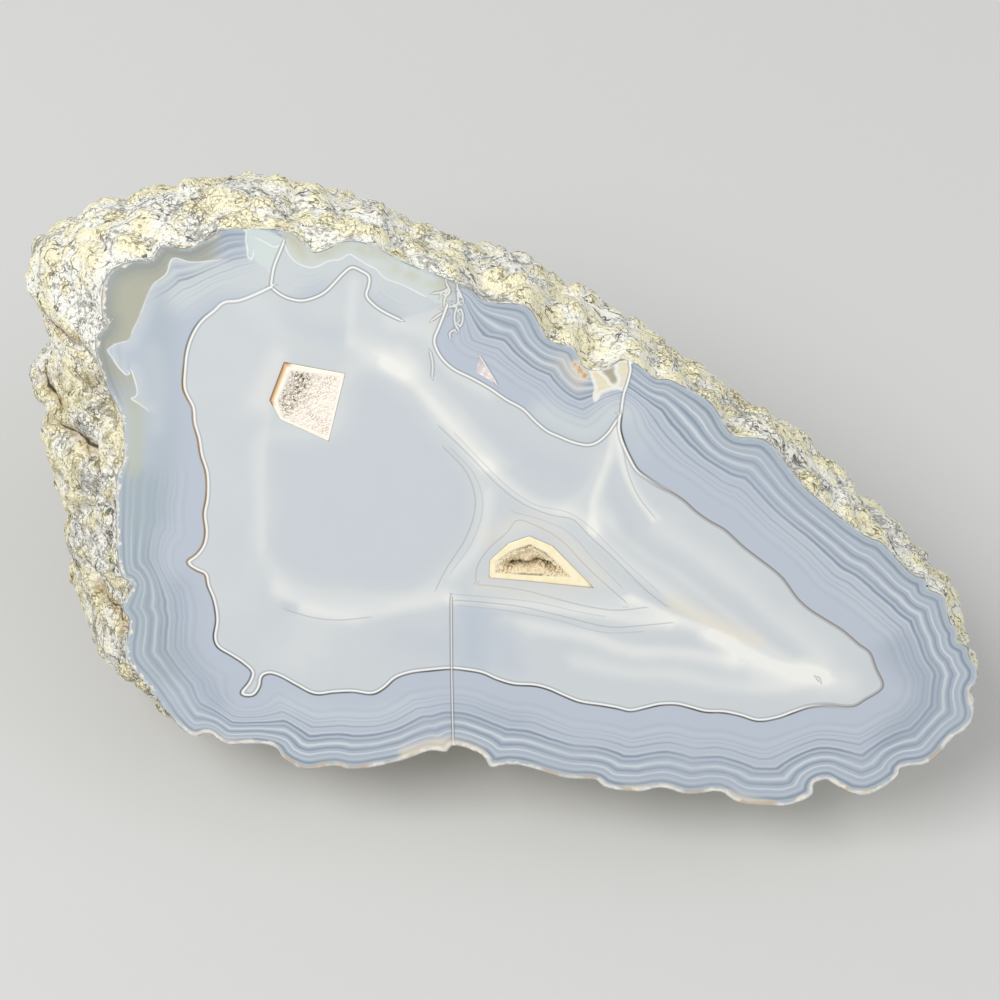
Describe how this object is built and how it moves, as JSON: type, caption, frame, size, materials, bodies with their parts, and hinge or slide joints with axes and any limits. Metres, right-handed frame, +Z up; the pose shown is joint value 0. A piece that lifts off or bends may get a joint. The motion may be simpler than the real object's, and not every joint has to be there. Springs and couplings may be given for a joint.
{
  "type": "brazilian agate",
  "caption": "Cut and polished agate nodule half resting on its rounded rind, with crystal-lined hollows in the banded face.",
  "frame": {"origin": "middle of the stone's footprint box, on the surface that it rests on", "axes": "+Z up, +X to the right along the stone's longest side, -Y towards the viewer whom the polished face looks at and up to"},
  "size_m": [0.1901, 0.1054, 0.0967],
  "materials": {
    "banded_agate": "polished",
    "druse_crystal": "crystalline"
  },
  "bodies": {
    "root": {"agate": "banded_agate", "upper_druse": "druse_crystal", "lower_druse": "druse_crystal"}
  },
  "joints": []
}
